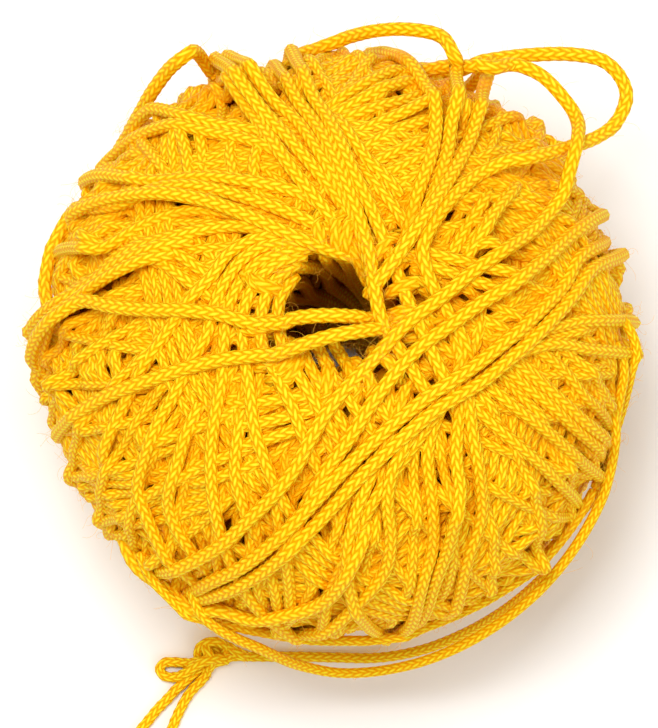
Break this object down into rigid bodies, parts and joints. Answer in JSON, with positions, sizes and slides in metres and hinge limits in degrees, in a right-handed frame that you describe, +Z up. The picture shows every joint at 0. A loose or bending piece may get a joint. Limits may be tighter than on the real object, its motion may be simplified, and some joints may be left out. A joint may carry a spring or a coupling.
{
  "type": "hollow ball of cotton cord",
  "caption": "Hollow wound ball of yellow plaited cotton cord with slack outer turns, loose loops and a knotted tie, standing on a flat spot round its hole.",
  "frame": {"origin": "on the surface that the ball stands on, at the middle of the flat spot, under the axis of the hole", "axes": "+Z up along the axis of the hole, +X to the right and +Y to the back as seen from above; the tie lies at the front left"},
  "size_m": [0.087, 0.1031, 0.0699],
  "materials": {
    "cotton_cord": "silky plaited cotton",
    "tie_cord": "silky plaited cotton, thinner"
  },
  "bodies": {
    "root": {"wound_ball": "cotton_cord", "tie_knot": "tie_cord", "tie_lead": "tie_cord", "tie_end_left": "tie_cord", "tie_end_right": "tie_cord"}
  },
  "joints": []
}
